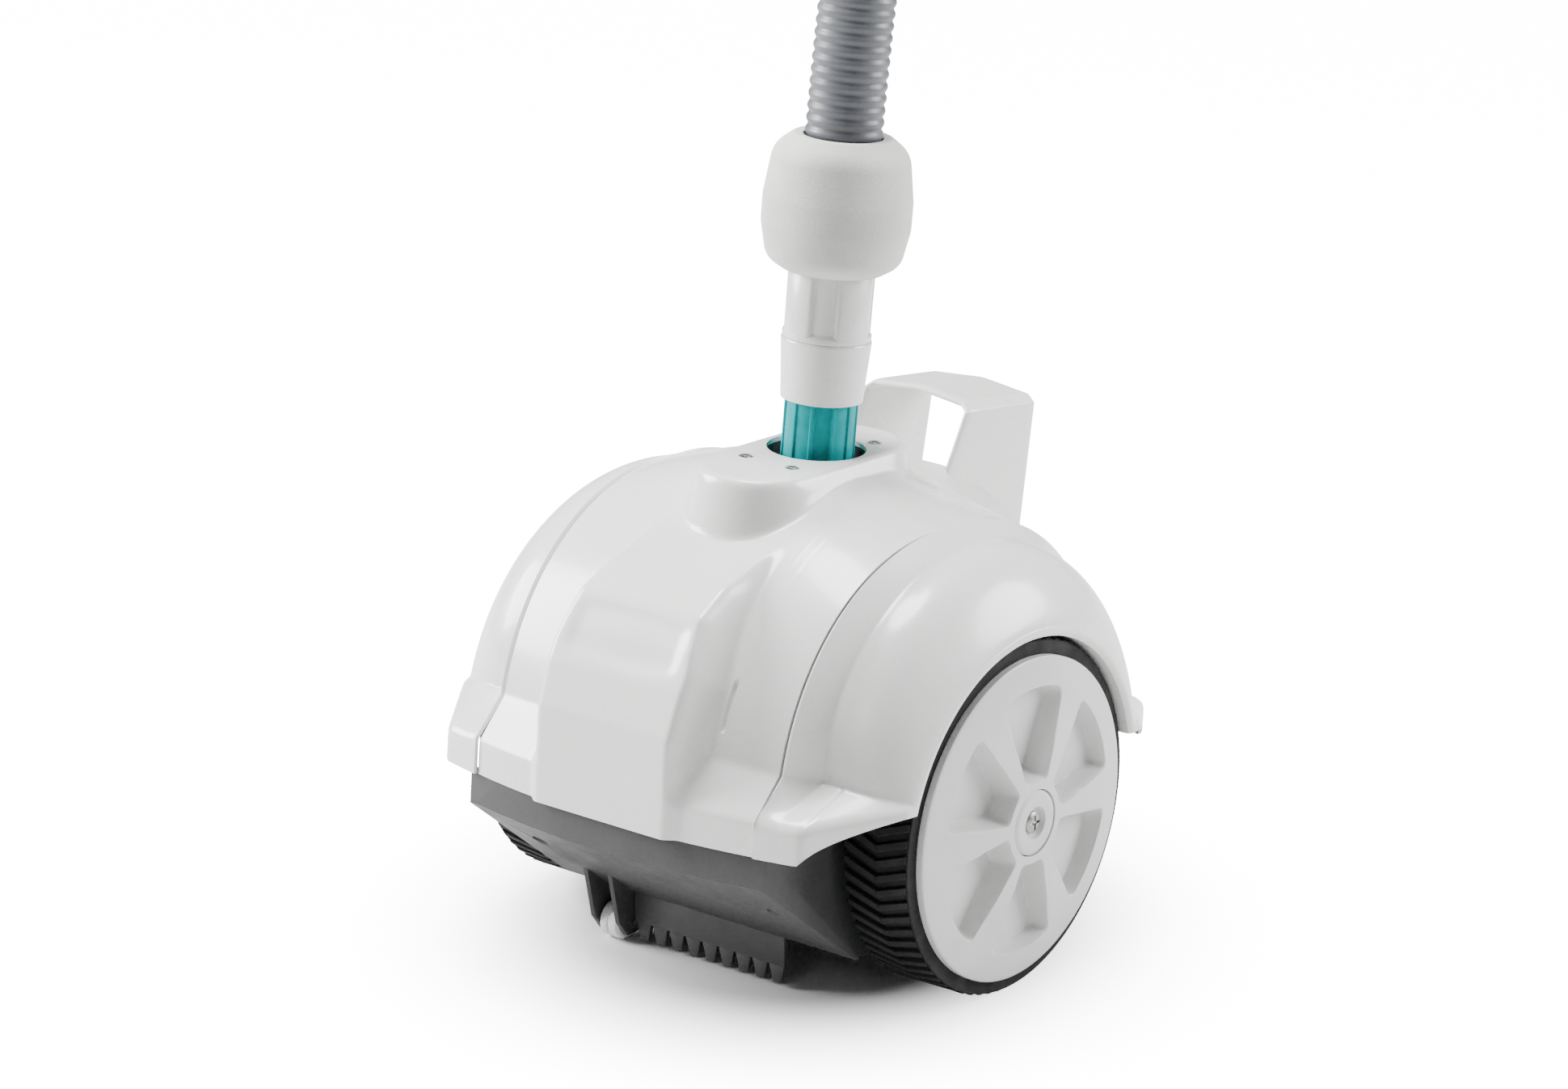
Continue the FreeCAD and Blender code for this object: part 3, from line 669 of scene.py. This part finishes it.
def hoodPiece():
    edge = body["seamX"] - body["gap"]
    across, along = np.linspace(-edge, edge, 129), np.linspace(0, 1, 300)
    fine = slot["x"] + np.linspace(-2.8, 2.8, 13)       # closer rows where the slots are cut
    across = across[np.abs(np.abs(across) - slot["x"]) > 3.4]
    across = np.sort(np.concatenate([across, fine, -fine]))
    x, t = np.meshgrid(across, along, indexing="ij")
    foot = footAngles(x)
    angle = foot + t * (180 - 2 * foot)
    radius = hoodRadius(x, angle)
    radius = blurred(blurred(radius, body["soften"] / 1.6, 0), body["soften"] / 1.7, 1)
    radius[:, 0] = radius[:, -1] = skirtReach(across) / np.cos(np.radians(foot[:, 0]))
    level = radius * np.sin(np.radians(angle)) + axleUp
    inside = smoothStep((slot["half"] - np.abs(level - slot["level"])) / 3)
    inside *= smoothStep((slot["halfWidth"] - np.abs(np.abs(x) - slot["x"])) / 0.8)
    radius -= slot["depth"] * inside * (angle < 90)
    spineFoot = smoothStep((42 + body["spineWall"] - np.abs(across)) / body["spineWall"])
    radius[:, 0] += spineFoot * np.maximum(-spineSide[0, 0] - skirtReach(across), 0)
    outer = polarPoints(x, angle, radius)
    inner = polarPoints(x, angle, radius - body["wall"])
    rows, columns = x.shape
    count = rows * columns
    faces = gridFaces(rows, columns)
    faces += [tuple(v + count for v in f[::-1]) for f in gridFaces(rows, columns)]
    rim = [(i, 0) for i in range(rows)] + [(rows - 1, j) for j in range(1, columns)]
    rim += [(i, columns - 1) for i in range(rows - 2, -1, -1)] + [(0, j) for j in range(columns - 2, 0, -1)]
    loop = [i * columns + j for i, j in rim]
    for a, b in zip(loop, loop[1:] + loop[:1]):
        faces.append((a, b, b + count, a + count))
    verts = np.vstack([outer.reshape(-1, 3), inner.reshape(-1, 3)])
    piece = newPiece("hood_shell", verts, faces, bodyToRow, "white_shell", 40)
    outward(piece)
    hole, top, sink = body["outletRadius"], body["platform"], body["screwRadius"]
    cutters = [lathe("cut", [(120, 0.01), (120, hole), (180, hole), (180, 0.01)], bodyToRow, "white_shell")]
    for sx in body["screwX"]:
        for sy in body["screwY"]:
            place = bodyToRow @ Matrix.Translation((sx * mm, sy * mm, 0))
            cutters.append(lathe("cut", [(top - 2, 0.01), (top - 2, sink), (top + 3, sink), (top + 3, 0.01)],
                                 place, "white_shell", 32))
    cutWith(piece, join("hood_cutter", cutters))
    piece.data.set_sharp_from_angle(angle=math.radians(40))
    finishPiece(piece, "chassis", "centre_hood")


def fenderPiece(side):
    # one skin: out from the seam over the wheel, round the lip, in under the arch, down beside the wheel
    turn = np.linspace(0, 1, 64)
    crease, arch = body["creaseX"], body["arch"]
    across = np.concatenate([np.linspace(body["seamX"] + body["gap"], crease, 10)[:-1],
                             crease + (body["lipX"] - crease) * np.sin(turn * math.pi / 2) ** 0.85])
    along = np.linspace(0, 1, 260)
    x, t = np.meshgrid(across, along, indexing="ij")
    foot = footAngles(x)
    angle = foot + t * (180 - 2 * foot)
    radius = skinRadius(x, angle, fenderRadius)
    soft = blurred(blurred(radius, 1.0, 0), 1.1, 1)
    radius[:, 1:-1] = soft[:, 1:-1]
    radius[0] = skinRadius(x, angle, fenderRadius)[0]
    skin = [polarPoints(x, angle, radius)]
    lip = [(149.0, arch + 2.2), (149.0, arch + 0.8), (148.4, arch), (146, arch), (132, arch), (118, arch),
           (101.4, arch), (100.6, arch - 0.8), (100.6, 90), (100.6, 60), (100.6, 30), (100.6, 13.5)]
    for lipX, lipRadius in lip:
        behindSkirt = body["lipX"] if lipX > 101.4 else lipX    # the arch ends level with the raised brim
        start = footAngles(np.full((1, len(along)), behindSkirt), lipRadius)
        ring = start + along[None, :] * (180 - 2 * start)
        skin.append(polarPoints(np.full_like(ring, lipX), ring, np.full_like(ring, lipRadius)))
    points = np.vstack(skin)
    points[..., 0] *= side
    rows, columns = points.shape[:2]
    piece = newPiece("fender_shell_right" if side > 0 else "fender_shell_left", points.reshape(-1, 3),
                     gridFaces(rows, columns, flip=side < 0), bodyToRow, "white_shell", 40)
    wall = piece.modifiers.new("wall", "SOLIDIFY")
    wall.thickness, wall.offset = body["fenderWall"] * mm, -1
    bake(piece)
    shadeSmooth(piece, 40)
    finishPiece(piece, "chassis", "fender_right" if side > 0 else "fender_left")


hoodPiece()
for side in (1, -1):
    fenderPiece(side)
print("body shells ready")


# carrying handle: one strap bent over two legs

handle = {"thick": 4.4, "fall": 0.1014, "fallFrom": 40.0}
handleArch = [(-38, 197), (-36.5, 288, 3), (-31, 292.5, 3), (0, 295.5, 40), (31, 292.5, 3), (36.5, 288, 3),
              (38, 197)]


def handlePiece():
    corners = rounded([(-60, 100)] + handleArch + [(60, 100)], 0.0, 8)[1:-1]
    line = []
    for a, b in zip(corners, corners[1:]):
        steps = max(1, int(math.dist(a, b) / 4))
        line += [(a[0] + (b[0] - a[0]) * k / steps, a[1] + (b[1] - a[1]) * k / steps) for k in range(steps)]
    line = np.array(line + [corners[-1]])
    ways = np.gradient(line, axis=0)
    ways /= np.linalg.norm(ways, axis=1)[:, None]
    inward = np.stack([ways[:, 1], -ways[:, 0]], axis=1)
    section = []
    for k in range(40):                                    # strap section: flat faces, full round edges
        turn = 2 * math.pi * k / 40
        across, depth = math.cos(turn), math.sin(turn)
        section.append((math.copysign(abs(across) ** 0.22, across), math.copysign(abs(depth) ** 0.75, depth)))
    verts = []
    for (px, pz), (ix, iz) in zip(line, inward):
        front = np.interp(pz, (195, 235, 288, 296), (50, 62, 89, 92))
        rear = np.interp(pz, (195, 300), (143, 155))
        for across, depth in section:
            y = (front + rear) / 2 + across * (rear - front) / 2
            inset = handle["thick"] / 2 * (1 - depth)
            fall = handle["fall"] * (y - handle["fallFrom"])
            verts.append(((px + ix * inset) * mm, y * mm, (pz - axleUp + iz * inset - fall) * mm))
    rows, columns = len(line), len(section)
    faces = gridFaces(rows, columns, closeColumns=True)
    faces += [tuple(range(columns)), tuple(range((rows - 1) * columns, rows * columns))[::-1]]
    piece = newPiece("handle_strap", verts, faces, bodyToRow, "white_shell", 50)
    outward(piece)
    shadeSmooth(piece, 50)
    finishPiece(piece, "chassis", "carry_handle")


handlePiece()
print("handle ready")


# wheels

wheel = {"face": 149.5, "radius": 89.5, "dome": 8.9, "pockets": 6, "firstPocket": 26.0, "pocketIn": 24.0,
         "pocketOut": 73.0, "pocketHalf": 20.5, "floor": 143.6, "draft": 4.0, "capRadius": 18.6}


def pocketShare(radius, angle):
    # how far into a pocket a point is, 0 to 1; radius in mm, angle in radians from the rear horizon up
    step = 2 * math.pi / wheel["pockets"]
    first = math.radians(wheel["firstPocket"])
    off = np.abs((angle - first + step / 2) % step - step / 2)
    edges = np.stack([radius - wheel["pocketIn"], wheel["pocketOut"] - radius,
                      radius * (math.radians(wheel["pocketHalf"]) - off)])
    nearest = -1.8 * np.log(np.exp(-edges / 1.8).sum(axis=0))   # soft corners
    return smoothStep(nearest / wheel["draft"] + 0.3)


def wheelDisc(side):
    sides = 480
    front = np.concatenate([np.linspace(wheel["capRadius"], 77.5, 84), np.linspace(78.5, 88.2, 8)])
    turn = np.arange(sides) * 2 * math.pi / sides
    r, a = np.meshgrid(front, turn, indexing="ij")
    x = wheel["face"] + wheel["dome"] * (1 - (r / wheel["radius"]) ** 2)
    x -= pocketShare(r, a) * (x - wheel["floor"])
    rows = [np.stack([x, r * np.cos(a), r * np.sin(a)], axis=-1)]
    back = [(149.55, 89.0), (149.1, 89.5), (147.5, 89.5), (145.5, 89.5), (145.4, 89.3), (107, 89.3),
            (107, 86), (140.6, 84), (140.6, 16), (103, 13.2), (103, 7.1), (153.6, 7.1), (153.6, 18.55),
            (157.2, 18.55)]
    for bx, br in back:
        rows.append(np.stack([np.full(sides, bx), br * np.cos(turn), br * np.sin(turn)], axis=-1)[None])
    points = np.vstack(rows) * mm
    points[..., 0] *= side
    name = "wheel_face_right" if side > 0 else "wheel_face_left"
    piece = newPiece(name, points.reshape(-1, 3), gridFaces(len(points), sides, True, True), axleToRow,
                     "wheel_plastic", 40)
    outward(piece)
    shadeSmooth(piece, 40)
    finishPiece(piece, "drive_wheels", "wheel_disc_right" if side > 0 else "wheel_disc_left")


tread = {"count": 70, "radius": 98.0, "base": 95.2, "inner": 104.0, "outer": 145.5, "shoulder": 144.4,
         "slant": 3.6, "width": 5.2, "sink": 1.2}


def tyrePiece(side):
    low, high, base = tread["inner"], tread["outer"], tread["base"]
    shoulder = tread["shoulder"]
    outline = rounded([(low, 89.55, 0.3), (low, base, 1.5), (shoulder, base, 0.1), (shoulder, 97.3, 0.6),
                       (high, 97.3, 1.8), (high, 89.55, 0.3)], 0.5, 4)
    carcass = lathe("carcass", [(x * side, r) for x, r in outline], axleToRow, "tyre_black", 180, "X")
    lugs = []
    middle = (low + high) / 2
    for x0, x1 in ((low + 0.1, middle), (middle, shoulder + 0.5)):
        outside = x0 if x1 == middle else x1
        corners = []
        for r, shrink in ((base - tread["sink"], 0.0), (tread["radius"], 0.55)):
            for x, sign in ((x0, -1), (x0, 1), (x1, 1), (x1, -1)):
                lean = tread["slant"] if x == outside else -tread["slant"]
                edge = shrink * (0.8 if x == outside else -0.4)
                xs = x - math.copysign(edge, x - middle) if x == outside else x
                corners.append((xs * side, lean + sign * (tread["width"] / 2 - shrink), r))
        lugs.append(softBlock("lug", corners, 0.35, "tyre_black", segments=1))
    lug = join("lug", lugs)
    turn = (2 * math.pi / tread["count"], 0, 0)
    blocks = repeated(lug, tread["count"], axleToRow, turn=turn)
    name = "tyre_tread_right" if side > 0 else "tyre_tread_left"
    piece = join(name, [carcass, blocks])
    finishPiece(piece, "drive_wheels", "tyre_right" if side > 0 else "tyre_left")


def hubCap(side):
    outline = rounded([(153.8, 3.3, 0.1), (153.8, 18.0, 0.1), (157.4, 18.0, 0.8), (158.3, 15.5, 1.5),
                       (158.35, 9.2, 0.6), (155.9, 7.9, 0.3), (155.9, 3.3, 0.1)], 0.3, 4)
    name = "right" if side > 0 else "left"
    cap = lathe("hub_cover_" + name, [(x * side, r) for x, r in outline], axleToRow, "wheel_plastic", 96, "X")
    finishPiece(cap, "drive_wheels", "hub_cap_" + name)
    head = rounded([(141.5, 0.02), (141.5, 3.0, 0.2), (155.9, 3.0, 0), (155.9, 6.3, 0.1), (157.0, 6.1, 0.8),
                    (158.0, 3.6, 1.5), (158.1, 0.02)], 0.1, 4)
    screw = lathe("hub_bolt_" + name, [(x * side, r) for x, r in head], axleToRow, "steel", 48, "X")
    for a, b in ((4.2, 0.75), (0.75, 4.2)):
        box = [(x * side, y, z) for x in (156.6, 162) for y, z in ((-a, -b), (a, -b), (a, b), (-a, b))]
        cutWith(screw, softBlock("slotCut", box, 0.1, "steel", axleToRow, 1))
    finishPiece(screw, "drive_wheels", "hub_screw_" + name)


for side in (1, -1):
    wheelDisc(side)
    tyrePiece(side)
    hubCap(side)
print("wheels ready")


# base, combs and rollers

softened("base_tub", "chassis", 1.6)

comb = {"pitch": 11.4, "count": 9, "half": 51.3, "low": 3.0, "gullet": 13.0, "thick": 3.0}


def combPiece(name, node):
    low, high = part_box(node)
    y0, top = low[1] / mm, high[2] / mm
    half, y1 = comb["half"], y0 + comb["thick"]
    strip = [(-half, y0), (half, y0), (half, y1), (-half, y1)]
    block = [(x, y, z) for z in (comb["gullet"], top) for x, y in strip]
    bar = softBlock("bar", block, 0.4, "grey_base")
    x, tip, root = comb["half"], comb["low"], comb["gullet"] + 0.6
    tooth = [(x - 8.0, 0.2, tip), (x - 2.5, 0.2, tip), (x - 2.5, 2.8, tip), (x - 8.0, 2.8, tip),
             (x - 10.6, 0, root), (x - 0.2, 0, root), (x - 0.2, 3, root), (x - 10.6, 3, root)]
    teeth = softBlock("tooth", tooth, 0.5, "grey_base")
    place = Matrix.Translation((0, y0 * mm, 0))
    teeth = repeated(teeth, comb["count"], place, step=(-comb["pitch"] * mm, 0, 0))
    piece = join(name, [bar, teeth])
    finishPiece(piece, "chassis", node)


combPiece("front_comb", "comb_front")
combPiece("rear_comb", "comb_rear")


def rollerPiece(name, node, joint):
    centre = Vector(joints[joint]["pos_m"])
    half = [(0.6, 9.6, 0.2), (1.0, 10, 0.2), (5.2, 10, 1.4), (6.5, 8.6, 0.5), (6.5, 2.06, 0.2)]
    outline = [(-along, radius, bend) for along, radius, bend in half[::-1]] + half
    piece = lathe(name, rounded(outline, 0.4, 3), Matrix.Translation(centre), "white_shell", 72, "X")
    finishPiece(piece, node, node)


rollerPiece("front_roller_wheel", "front_roller", "front_roller_spin")
rollerPiece("rear_roller_wheel", "rear_roller", "rear_roller_spin")
print("base, combs and rollers ready")


# hose column, upright from the tilt axis, then leaned back

column = {"collar": 49.0, "sleeve": 83.0, "coupling": 119.6, "float": 193.6, "ribs": 11,
          "pads": 4, "firstPad": 75.0, "padHalf": 29.5, "padInner": 20.5}


def collarPiece():
    outline = rounded([(-6, 16, 0.3), (-6, 18.4, 1.2), (6, 19.2, 1), (55, 19.2, 0.3), (55, 16, 0.3)], 0.4, 3)
    tube = lathe("tube", outline, riserToRow, "teal_plastic", 96)
    low, high = 9.0, column["collar"] + 3
    rib = [(18.6, -1.7, low), (20.1, -1.1, low + 1.5), (20.1, 1.1, low + 1.5), (18.6, 1.7, low),
           (18.6, -1.7, high), (20.1, -1.1, high), (20.1, 1.1, high), (18.6, 1.7, high)]
    rib = softBlock("rib", rib, 0.3, "teal_plastic")
    ribs = repeated(rib, column["ribs"], riserToRow, turn=(0, 0, 2 * math.pi / column["ribs"]))
    piece = join("teal_collar", [tube, ribs])
    finishPiece(piece, "hose_column", "quick_collar")


def sleevePiece():
    low, high = column["collar"], column["sleeve"]
    outline = rounded([(low, 20.3, 0.4), (low, 22.3, 1.0), (low + 16, 23.3, 6), (high - 1.2, 24.6, 0.6),
                       (high, 24.2, 0.4), (high, 17, 0.3), (low + 6, 17, 0.3), (low + 6, 20.3, 0.3)], 0.4, 4)
    piece = lathe("white_sleeve", outline, riserToRow, "white_shell", 120)
    finishPiece(piece, "hose_column", "riser_sleeve")


def couplingPiece():
    # tube with four long pads; the gaps between them face the sides
    low, high, top = column["sleeve"], column["coupling"] + 4, column["coupling"]
    padHalf = math.radians(column["padHalf"])
    outline = rounded([(low, 17, 0.3), (low, 24.1, 0.8), (low + 3, 24.1, 1.2), (low + 5, 22.5, 1.0),
                       (high, 22.5, 0.5), (high, 17, 0.3)], 0.4, 4)
    tube = lathe("tube", outline, riserToRow, "white_shell", 120)
    verts, sides = [], 26
    levels = [(low + 2.5, 21.8), (low + 2.6, 24.0), (top - 1, 24.2), (top, 23.6), (top, 21.8)]
    for z, r in levels:
        for k in range(sides):
            share = 2 * k / (sides - 1) - 1
            turn = padHalf * share
            rim = 0.9 * max(0.0, abs(share) - 0.86) / 0.14
            verts.append(((r - rim) * math.cos(turn) * mm, (r - rim) * math.sin(turn) * mm, z * mm))
    turns = [padHalf * (2 * k / (sides - 1) - 1) for k in range(sides)]
    inner = [(column["padInner"] * math.cos(turn) * mm, column["padInner"] * math.sin(turn) * mm)
             for turn in turns]
    verts += [(u, v, top * mm) for u, v in inner] + [(u, v, (low + 2.5) * mm) for u, v in inner]
    rows = len(levels) + 2
    faces = gridFaces(rows, sides, closeRows=True)
    faces += [tuple(i * sides for i in range(rows)), tuple(i * sides + sides - 1 for i in range(rows))[::-1]]
    pad = newPiece("pad", verts, faces, Matrix(), "white_shell", 40)
    outward(pad)
    turned = riserToRow @ Matrix.Rotation(math.radians(column["firstPad"]), 4, "Z")
    pads = repeated(pad, column["pads"], turned, turn=(0, 0, 2 * math.pi / column["pads"]))
    piece = join("padded_coupling", [tube, pads])
    finishPiece(piece, "hose_column", "ribbed_coupling")


def floatPiece():
    low, high = column["coupling"], column["float"]
    outline = [(low + 0.5, 24.0, 0.5), (low + 0.2, 27, 2.5), (low + 6, 36.5, 12), (low + 25, 40.4, 20),
               (high - 34, 40.4, 20), (high - 8, 36.8, 16), (high, 26.5, 4), (high - 0.5, 21.5, 0.8),
               (low + 4.2, 21.5, 0.3), (low + 4.2, 23.8, 0.3)]
    piece = lathe("foam_float", rounded(outline, 1.0, 12), riserToRow, "float_foam", 128, sharpAngle=60)
    finishPiece(piece, "hose_column", "hose_float")


collarPiece()
sleevePiece()
couplingPiece()
floatPiece()
print("hose column ready")


# outlet parts and the rest keep their CAD shapes, with rounded copies where edges show

for node, bodyName, width in (("swivel_ring", "swivel", 0.4), ("retaining_ring", "chassis", 0.4),
                              ("platform_screws", "chassis", 0.2)):
    softened(node, bodyName, width, 2)


# floor and light

# shadowReach: the distances from the object over which the floor's painted glow rises from none to full
# backdrop strength
studio = {"floor": (0.75, 0.75, 0.75), "backdrop": 14, "shadowReach": (0.10, 0.27),
          "floorHalf": 8.0, "world": 0.19}


def stageFloor():
    mesh = bpy.data.meshes.new("floor")
    half = studio["floorHalf"]
    corners = [(-half, -half, 0), (half, -half, 0), (half, half, 0), (-half, half, 0)]
    mesh.from_pydata(corners, [], [(0, 1, 2, 3)])
    floor = bpy.data.objects.new("floor", mesh)
    bpy.context.collection.objects.link(floor)
    material = makeMaterial("studio floor", studio["floor"], 0.85)
    shader = material.node_tree.nodes["Principled BSDF"]
    shader.inputs["Emission Color"].default_value = (1, 1, 1, 1)
    tree = material.node_tree
    # painted glow on the floor, seen by the camera only: none close to the object, where the lamps' real
    # shadow shows, then rising with distance to backdrop strength, so the shadow's outer fade is painted
    place, seen = tree.nodes.new("ShaderNodeTexCoord"), tree.nodes.new("ShaderNodeLightPath")
    distance, fade, glow = (tree.nodes.new(kind) for kind in
                            ("ShaderNodeVectorMath", "ShaderNodeMapRange", "ShaderNodeMath"))
    distance.operation, glow.operation, fade.interpolation_type = "LENGTH", "MULTIPLY", "SMOOTHSTEP"
    fade.inputs["From Min"].default_value, fade.inputs["From Max"].default_value = studio["shadowReach"]
    fade.inputs["To Max"].default_value = studio["backdrop"]
    tree.links.new(place.outputs["Object"], distance.inputs[0])
    tree.links.new(distance.outputs["Value"], fade.inputs["Value"])
    tree.links.new(fade.outputs["Result"], glow.inputs[0])
    tree.links.new(seen.outputs["Is Camera Ray"], glow.inputs[1])  # only the view of the floor is brightened
    tree.links.new(glow.outputs["Value"], shader.inputs["Emission Strength"])
    mesh.materials.append(material)


def softbox(name, place, aim, size, power):
    data = bpy.data.lights.new(name, "AREA")
    data.shape, data.size, data.energy = "DISK", size, power
    lamp = bpy.data.objects.new(name, data)
    lamp.location = place
    way = Vector(aim) - Vector(place)
    lamp.rotation_euler = way.to_track_quat("-Z", "Y").to_euler()
    bpy.context.collection.objects.link(lamp)


stageFloor()
softbox("left", (-2.1, -0.9, 1.2), (0, 0, 0.25), 1.4, 165)
softbox("right", (1.5, 1.7, 1.1), (0, 0, 0.25), 1.4, 90)
softbox("front", (0.6, -2.9, 2.2), (0, 0, 0.15), 0.9, 5)
softbox("top", (-0.3, 0.2, 2.6), (0, 0, 0.2), 1.2, 135)
world = bpy.data.worlds.new("studio")
world.use_nodes = True
sky, seen = world.node_tree.nodes["Background"], world.node_tree.nodes.new("ShaderNodeLightPath")
behind = world.node_tree.nodes.new("ShaderNodeMath")
behind.operation = "MULTIPLY_ADD"
behind.inputs[1].default_value, behind.inputs[2].default_value = studio["backdrop"], studio["world"]
world.node_tree.links.new(seen.outputs["Is Camera Ray"], behind.inputs[0])
world.node_tree.links.new(behind.outputs["Value"], sky.inputs["Strength"])
sky.inputs["Color"].default_value = (1, 1, 1, 1)
bpy.context.scene.world = world
print("stage ready")
